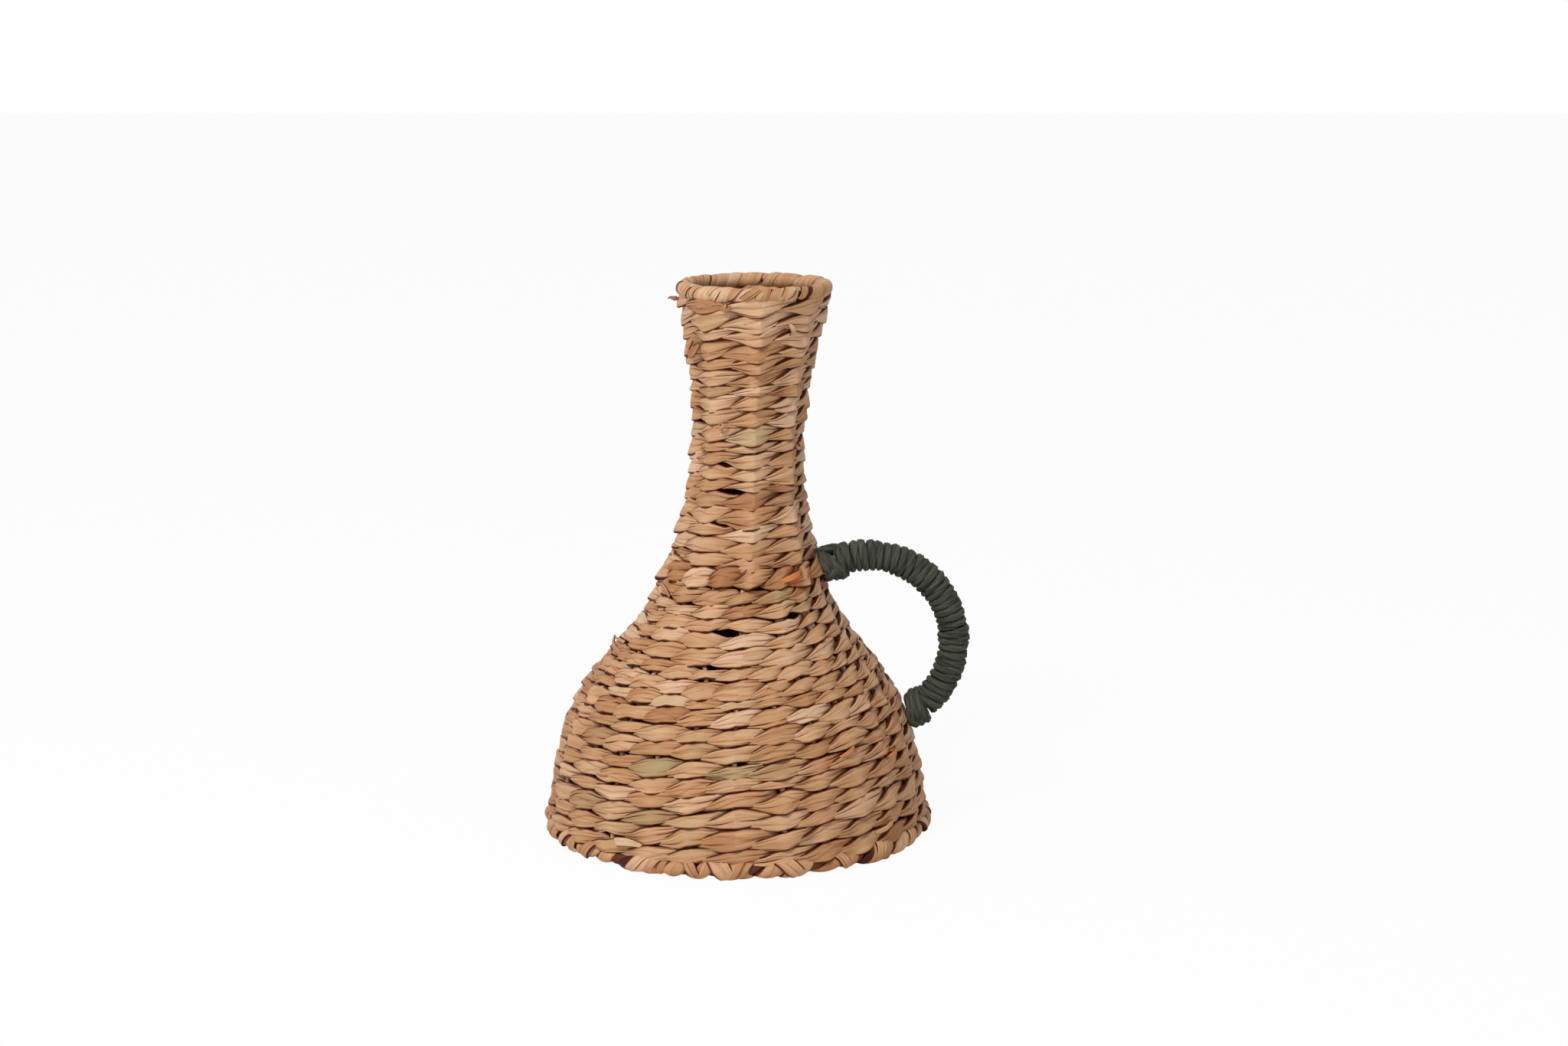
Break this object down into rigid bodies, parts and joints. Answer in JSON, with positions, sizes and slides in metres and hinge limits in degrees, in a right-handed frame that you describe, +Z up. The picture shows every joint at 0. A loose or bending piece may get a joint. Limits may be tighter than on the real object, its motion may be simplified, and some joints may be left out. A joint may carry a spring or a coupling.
{
  "type": "bud vase",
  "caption": "Jug-shaped basket bud vase, twined in flat dried leaf over a wire frame, with a slim flared neck and one dark cord-bound side handle.",
  "frame": {"origin": "centre of the foot, on the surface that the vase stands on", "axes": "+Z up the vase to its mouth, +X towards the handle, -Y the side that faces the viewer"},
  "size_m": [0.1927, 0.1742, 0.25],
  "materials": {
    "leaf": "matte",
    "wire": "matte",
    "cane": "matte",
    "cord": "matte"
  },
  "bodies": {
    "root": {"base_ring": "leaf", "floor_weave": "leaf", "body_course_01": "leaf", "body_course_02": "leaf", "body_course_03": "leaf", "body_course_04": "leaf", "body_course_05": "leaf", "body_course_06": "leaf", "body_course_07": "leaf", "body_course_08": "leaf", "body_course_09": "leaf", "body_course_10": "leaf", "body_course_11": "leaf", "body_course_12": "leaf", "body_course_13": "leaf", "body_course_14": "leaf", "body_course_15": "leaf", "body_course_16": "leaf", "body_course_17": "leaf", "shoulder_band": "leaf", "neck_course_01": "leaf", "neck_course_02": "leaf", "neck_course_03": "leaf", "neck_course_04": "leaf", "neck_course_05": "leaf", "neck_course_06": "leaf", "neck_course_07": "leaf", "neck_course_08": "leaf", "neck_course_09": "leaf", "neck_course_10": "leaf", "neck_course_11": "leaf", "neck_course_12": "leaf", "neck_course_13": "leaf", "neck_course_14": "leaf", "neck_course_15": "leaf", "neck_course_16": "leaf", "neck_course_17": "leaf", "neck_course_18": "leaf", "neck_course_19": "leaf", "rim_wrap": "leaf", "wire_frame": "wire", "rim_wire": "wire", "handle_core": "cane", "handle_winding": "cord", "lashing_lower": "cord", "lashing_upper": "cord"}
  },
  "joints": []
}
